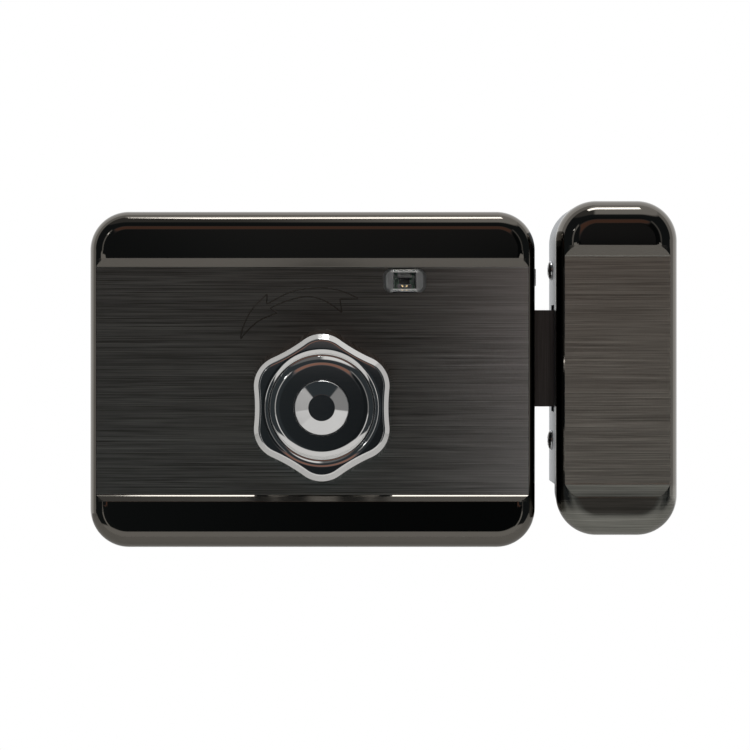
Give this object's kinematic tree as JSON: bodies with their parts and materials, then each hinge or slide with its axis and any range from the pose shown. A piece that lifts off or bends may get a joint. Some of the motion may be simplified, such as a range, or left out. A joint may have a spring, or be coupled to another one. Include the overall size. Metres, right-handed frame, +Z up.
{
  "type": "electric rim lock with keeper",
  "caption": "Rim lock with a rounded case, lobed thumbturn, centre push button and motor-driven sliding bolt, with its box keeper.",
  "frame": {"origin": "on the thumbturn's axis, in the plane of the door, which is the centre of the four door bolts", "axes": "+X from the case towards the keeper, +Y from the room into the door, +Z up"},
  "size_m": [0.1751, 0.0584, 0.1033],
  "materials": {
    "black_nickel": "polished bands, brushed panel",
    "zinc_plate": "bright zinc plated",
    "steel": "machined",
    "dark_steel": "blackened",
    "chrome": "polished",
    "brass": "machined",
    "acetal": "moulded",
    "black_plastic": "moulded",
    "grey_plastic": "moulded",
    "green_plastic": "moulded",
    "clear_plastic": "clear",
    "white_plastic": "moulded",
    "board": "solder mask",
    "light": "cast",
    "rubber": "moulded",
    "magnet": "nickel plated",
    "aluminium": "drawn"
  },
  "bodies": {
    "lock_case": {"front_cover": "black_nickel", "cover_posts": "steel", "plate_screws": "zinc_plate", "back_plate": "zinc_plate", "door_bolt_bosses": "zinc_plate", "cable_grommet": "rubber", "bridge_posts": "steel", "bridge_plate": "zinc_plate", "bridge_screws": "steel", "button_switch": "black_plastic", "idler_axle": "steel", "idler_clip": "dark_steel", "knob_bush": "brass", "rack_rail": "acetal", "bolt_guide": "acetal", "gearbox": "grey_plastic", "gearbox_posts": "steel", "motor": "steel", "control_board": "board", "board_standoffs": "brass", "board_screws": "zinc_plate", "terminal_block": "green_plastic", "motor_socket": "white_plastic", "buzzer": "black_plastic", "capacitor": "aluminium", "controller_chip": "black_plastic", "bolt_sensor": "black_plastic", "indicator_window": "clear_plastic", "light_shade": "black_plastic", "status_light": "light", "door_sensor": "black_plastic"},
    "bolt": {"deadbolt": "dark_steel", "bolt_magnet": "magnet", "bolt_rack": "steel", "rack_screws": "dark_steel"},
    "thumbturn": {"spindle": "steel", "spindle_clip": "dark_steel", "knob": "chrome", "knob_grub_screw": "dark_steel", "drive_gear": "acetal", "rack_gear": "steel", "button_spring": "steel"},
    "release_button": {"push_button": "chrome", "button_rod": "steel", "cross_pin": "steel", "switch_collar": "brass"},
    "plunger": {"switch_plunger": "white_plastic"},
    "idler": {"idler_gear": "acetal"},
    "motor_output": {"motor_pinion": "brass", "output_shaft": "steel"},
    "keeper": {"keeper_cover": "black_nickel", "keeper_bracket": "zinc_plate", "keeper_blocks": "black_plastic", "keeper_magnet": "magnet", "keeper_screws": "zinc_plate"}
  },
  "joints": [
    {"name": "knob_turn", "type": "hinge", "parent": "lock_case", "child": "thumbturn", "pos_m": [0, 0, 0], "axis": [0, -1, 0], "range_deg": [0, 90]},
    {"name": "bolt_slide", "type": "slide", "parent": "lock_case", "child": "bolt", "axis": [-1, 0, 0], "range_m": [0, 0.022]},
    {"name": "button_press", "type": "slide", "parent": "thumbturn", "child": "release_button", "axis": [0, 1, 0], "range_m": [0, 0.0015], "stiffness_N_per_m": 600, "springref_m": -0.001, "deforming": ["button_spring"]},
    {"name": "plunger_press", "type": "slide", "parent": "lock_case", "child": "plunger", "axis": [0, 1, 0], "range_m": [0, 0.0015]},
    {"name": "idler_spin", "type": "hinge", "parent": "lock_case", "child": "idler", "pos_m": [-0.029, 0, -0.01352], "axis": [0, -1, 0], "range_deg": [-150.1, 0]},
    {"name": "motor_spin", "type": "hinge", "parent": "lock_case", "child": "motor_output", "pos_m": [-0.049, 0, -0.01352], "axis": [0, -1, 0], "range_deg": [0, 225.1]},
    {"name": "keeper_draw", "type": "slide", "parent": "lock_case", "child": "keeper", "axis": [1, 0, 0], "range_m": [0, 0.03]}
  ],
  "couplings": [
    {"joint": "bolt_slide", "follows": "knob_turn", "m_per_rad": 0.014},
    {"joint": "idler_spin", "follows": "knob_turn", "ratio": -1.6667},
    {"joint": "motor_spin", "follows": "knob_turn", "ratio": 2.5},
    {"joint": "plunger_press", "follows": "button_press", "ratio": 1}
  ]
}
